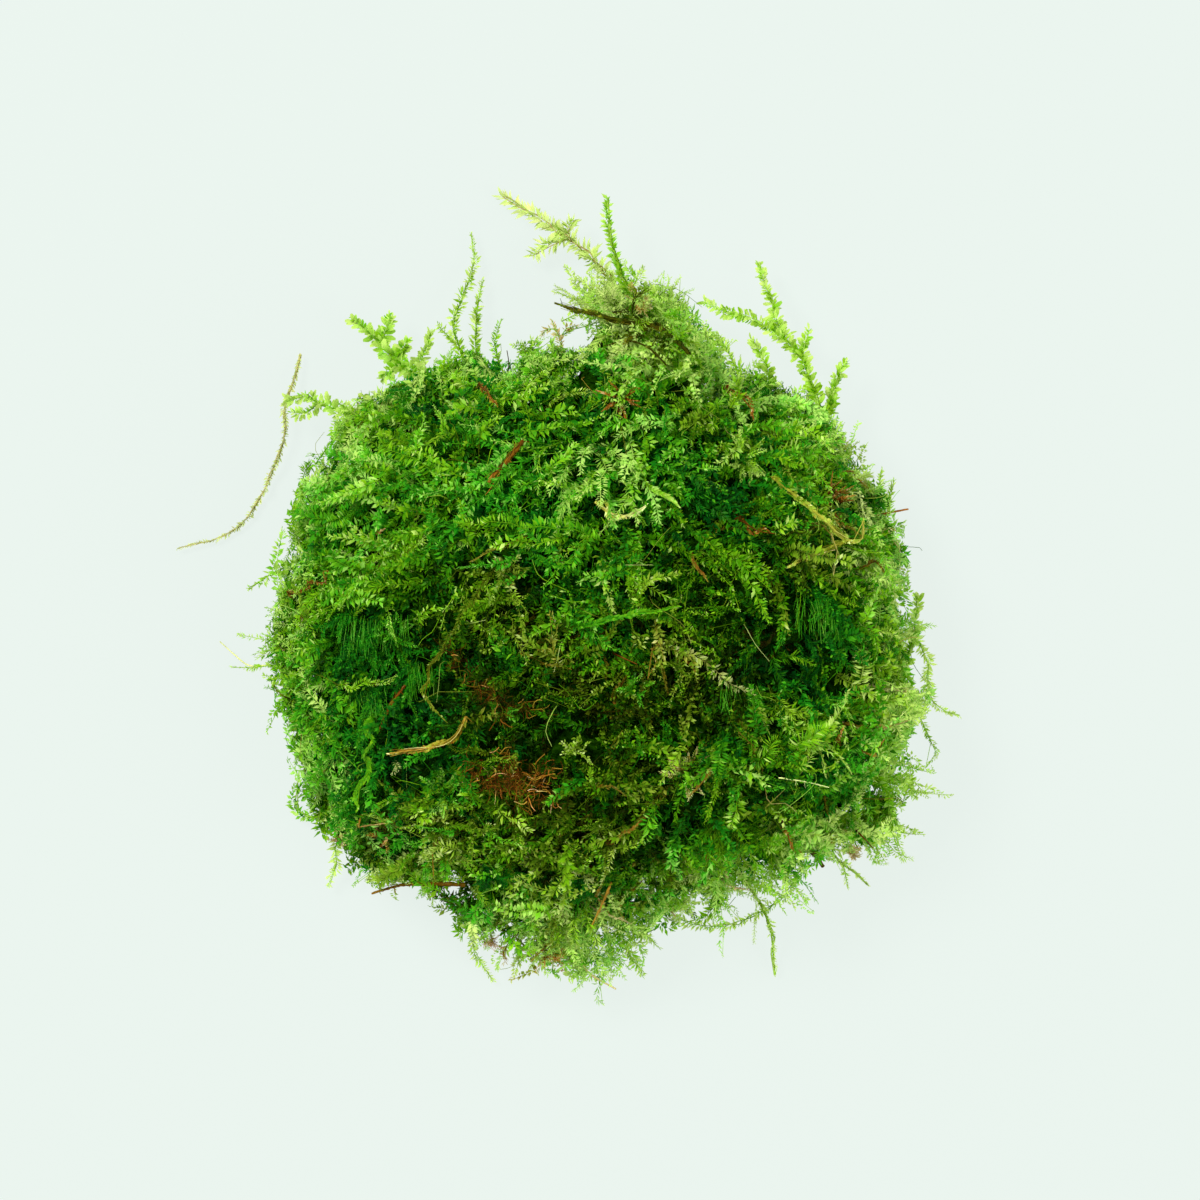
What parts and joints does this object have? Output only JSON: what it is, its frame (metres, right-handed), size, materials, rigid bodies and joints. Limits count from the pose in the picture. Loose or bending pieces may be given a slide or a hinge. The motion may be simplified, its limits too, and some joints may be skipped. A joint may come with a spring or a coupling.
{
  "type": "moss clump",
  "caption": "Loose damp clump of feathery green aquarium moss: a felted cushion of combed leafy shoots, stray fronds at its rim, and dead stems caught in the top.",
  "frame": {"origin": "centre of the flat base that the clump rests on", "axes": "+Z up, away from the table; +X to the right and +Y up in the picture, which looks straight down"},
  "size_m": [0.079, 0.0799, 0.0288],
  "materials": {
    "mat_moss": "wet leafy moss",
    "green_moss": "fresh green leaves",
    "pale_moss": "pale yellow-green leaves",
    "tan_stem": "dry ochre stem",
    "brown_stem": "brown stem",
    "rust_stem": "rust-brown rootlet",
    "dark_twig": "dark wet twig"
  },
  "bodies": {
    "root": {"moss_mat": "mat_moss", "long_pale_shoot": "pale_moss", "arm_shoot_northwest": "green_moss", "lobed_frond_northwest": "green_moss", "paddle_frond_northwest": "green_moss", "tall_shoot_left": "green_moss", "tall_shoot_middle": "green_moss", "tall_shoot_right": "green_moss", "peach_sprig_north": "pale_moss", "pale_feather_north": "pale_moss", "green_spike_north": "green_moss", "left_sprig_north": "pale_moss", "long_frond_northeast": "green_moss", "short_frond_northeast": "green_moss", "arching_stem_northeast": "green_moss", "sprig_northeast": "green_moss", "sprig_east_inner": "green_moss", "sprig_east_outer": "green_moss", "bright_frond_east": "green_moss", "trailing_frond_southeast": "green_moss", "looping_shoot_southeast": "green_moss", "forked_stem_southeast": "green_moss", "long_stem_south": "green_moss", "lace_stem_south": "green_moss", "bottom_curl_southwest": "green_moss", "drooping_shoot_southwest": "green_moss", "curled_shoot_west": "green_moss", "sprig_west": "green_moss", "small_curl_southwest": "green_moss", "bottom_sprig_south": "green_moss", "pale_hair_west": "tan_stem", "brown_stem_east": "brown_stem", "pale_stem_south": "tan_stem", "bark_bit_southeast": "dark_twig", "brown_stem_southwest": "brown_stem", "dark_twig_north": "dark_twig", "thin_twig_north": "dark_twig", "bark_chip": "brown_stem", "orange_stem": "rust_stem", "hooked_stem": "tan_stem", "curled_tendril": "tan_stem", "pale_stem_southeast": "tan_stem", "pink_stem_south": "rust_stem", "red_stem_west": "rust_stem", "dark_root_strand": "dark_twig", "rust_root_knot": "rust_stem"}
  },
  "joints": []
}
